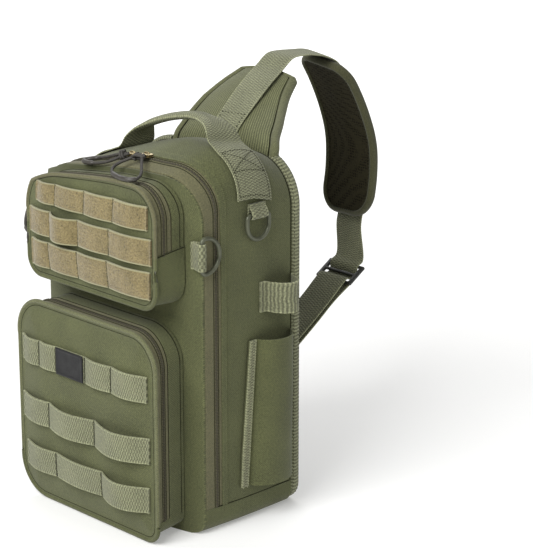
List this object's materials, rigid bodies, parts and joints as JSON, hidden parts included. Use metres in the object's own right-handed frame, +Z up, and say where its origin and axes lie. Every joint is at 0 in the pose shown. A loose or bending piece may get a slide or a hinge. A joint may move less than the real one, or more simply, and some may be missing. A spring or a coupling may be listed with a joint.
{
  "type": "fishing sling backpack",
  "caption": "Upright olive fishing sling backpack with zipped main compartment, front pockets with webbing rows, grab handle, rod holder and padded shoulder strap.",
  "frame": {"origin": "middle of the base panel where it rests on the floor", "axes": "+X to the side with the rod holder, +Y from the pockets to the padded back, +Z up"},
  "size_m": [0.2617, 0.3818, 0.4235],
  "materials": {
    "fabric": "matt woven nylon",
    "webbing": "ribbed webbing",
    "loop_pile": "fuzzy loop pile",
    "zipper_tape": "woven tape with a dark coil",
    "mesh_cloth": "spacer mesh",
    "patch": "matt, bare",
    "cord": "round braided cord with a moulded end",
    "ring_metal": "satin",
    "slider_metal": "worn",
    "moulded": "moulded"
  },
  "bodies": {
    "bag": {"main_front_panel": "fabric", "main_gusset": "fabric", "main_base": "fabric", "upper_pocket_front": "fabric", "upper_pocket_piping": "fabric", "upper_pocket_gusset": "fabric", "lower_pocket_front": "fabric", "lower_pocket_piping": "fabric", "lower_pocket_gusset": "fabric", "yoke": "fabric", "rod_sleeve": "fabric", "shoulder_pad": "fabric", "webbing_row_top": "webbing", "webbing_row_middle": "webbing", "webbing_row_bottom": "webbing", "back_binding": "webbing", "yoke_binding_right": "webbing", "yoke_binding_left": "webbing", "grab_handle": "webbing", "handle_loop_right": "webbing", "handle_loop_left": "webbing", "side_tab_right": "webbing", "side_tab_left": "webbing", "rod_loop": "webbing", "rod_sleeve_edge": "webbing", "shoulder_pad_binding": "webbing", "strap_web_upper": "webbing", "strap_web_lower": "webbing", "loop_row_top": "loop_pile", "loop_row_middle": "loop_pile", "loop_row_bottom": "loop_pile", "main_zipper": "zipper_tape", "upper_pocket_zipper": "zipper_tape", "lower_pocket_zipper": "zipper_tape", "back_panel": "mesh_cloth", "shoulder_pad_mesh": "mesh_cloth", "label_patch": "patch", "main_pull_right": "cord", "main_pull_left": "cord", "upper_pull_high": "cord", "upper_pull_low": "cord", "lower_pull_high": "cord", "lower_pull_low": "cord", "main_slider_right": "slider_metal", "main_slider_left": "slider_metal", "upper_slider_high": "slider_metal", "upper_slider_low": "slider_metal", "lower_slider_high": "slider_metal", "lower_slider_low": "slider_metal", "triglide": "moulded", "strap_anchor": "moulded"},
    "right_handle_ring": {"handle_ring_right": "ring_metal"},
    "left_handle_ring": {"handle_ring_left": "ring_metal"},
    "right_side_ring": {"side_ring_right": "ring_metal"},
    "left_side_ring": {"side_ring_left": "ring_metal"}
  },
  "joints": [
    {"name": "right_handle_ring_swing", "type": "hinge", "parent": "bag", "child": "right_handle_ring", "pos_m": [0.11922, 0.0135, 0.3075], "axis": [0, -1, 0], "range_deg": [0, 150]},
    {"name": "left_handle_ring_swing", "type": "hinge", "parent": "bag", "child": "left_handle_ring", "pos_m": [-0.11922, 0.0135, 0.27226], "axis": [0, 1, 0], "range_deg": [0, 150]},
    {"name": "right_side_ring_swing", "type": "hinge", "parent": "bag", "child": "right_side_ring", "pos_m": [0.1176, -0.0568, 0.279], "axis": [0, 0, -1], "range_deg": [0, 150]},
    {"name": "left_side_ring_swing", "type": "hinge", "parent": "bag", "child": "left_side_ring", "pos_m": [-0.1176, -0.0568, 0.279], "axis": [0, 0, 1], "range_deg": [0, 150]}
  ]
}
